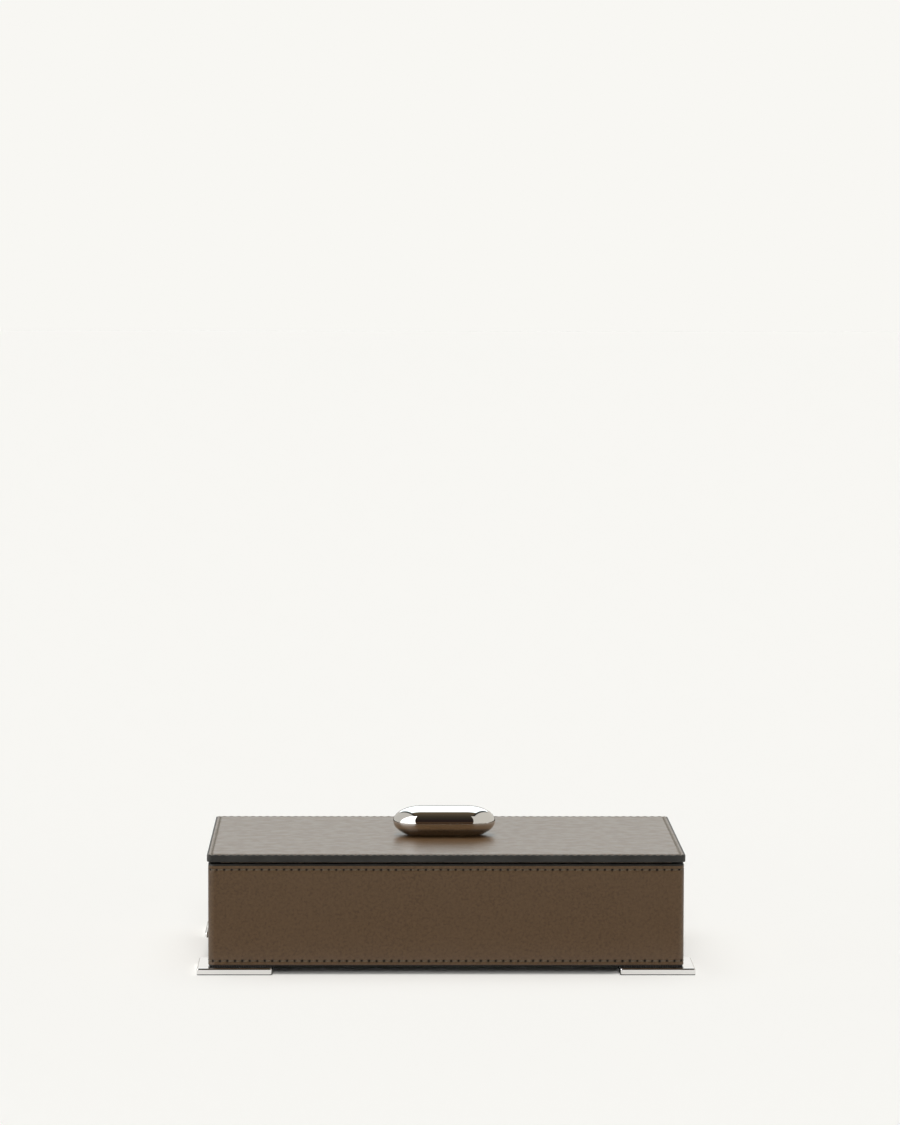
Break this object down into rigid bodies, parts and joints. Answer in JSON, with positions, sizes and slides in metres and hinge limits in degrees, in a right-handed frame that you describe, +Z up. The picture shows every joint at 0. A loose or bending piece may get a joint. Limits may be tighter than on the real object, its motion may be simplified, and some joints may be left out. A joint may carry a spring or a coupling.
{
  "type": "leather box",
  "caption": "Low rectangular leather-covered keepsake box with stitched edges, a lift-off lid with a polished pebble knob, a suede-lined inside and square plate feet.",
  "frame": {"origin": "on the floor under the middle of the box, at the undersides of the feet", "axes": "+X to the right along the long side, +Z up, the front faces -Y"},
  "size_m": [0.2512, 0.1712, 0.0756],
  "materials": {
    "brown_leather": "smooth, fine grain",
    "edge_dressing": "satin edge paint",
    "board": "raw fibreboard",
    "suede": "napped",
    "cover_cloth": "matt",
    "polished_metal": "mirror polished",
    "screw_steel": "plain"
  },
  "bodies": {
    "box": {"leather_wrap": "brown_leather", "rim_edge": "edge_dressing", "base_board": "board", "bottom_cover": "cover_cloth", "floor_pad": "suede", "foot_screws": "screw_steel", "side_bar": "polished_metal", "side_bar_pins": "polished_metal", "wall_front": "board", "wall_right": "board", "wall_back": "board", "wall_left": "board", "liner_front": "suede", "liner_right": "suede", "liner_back": "suede", "liner_left": "suede", "foot_front_left": "polished_metal", "foot_front_right": "polished_metal", "foot_back_left": "polished_metal", "foot_back_right": "polished_metal"},
    "lid": {"lid_top_leather": "brown_leather", "lid_board": "board", "lid_lining": "brown_leather", "lid_edge": "edge_dressing", "lid_plug": "board", "lid_plug_facing": "suede", "knob": "polished_metal", "knob_screw": "screw_steel", "knob_washer": "screw_steel"}
  },
  "joints": [
    {"name": "lid_lift", "type": "slide", "parent": "box", "child": "lid", "axis": [0, 0, 1], "range_m": [0, 0.12]}
  ]
}
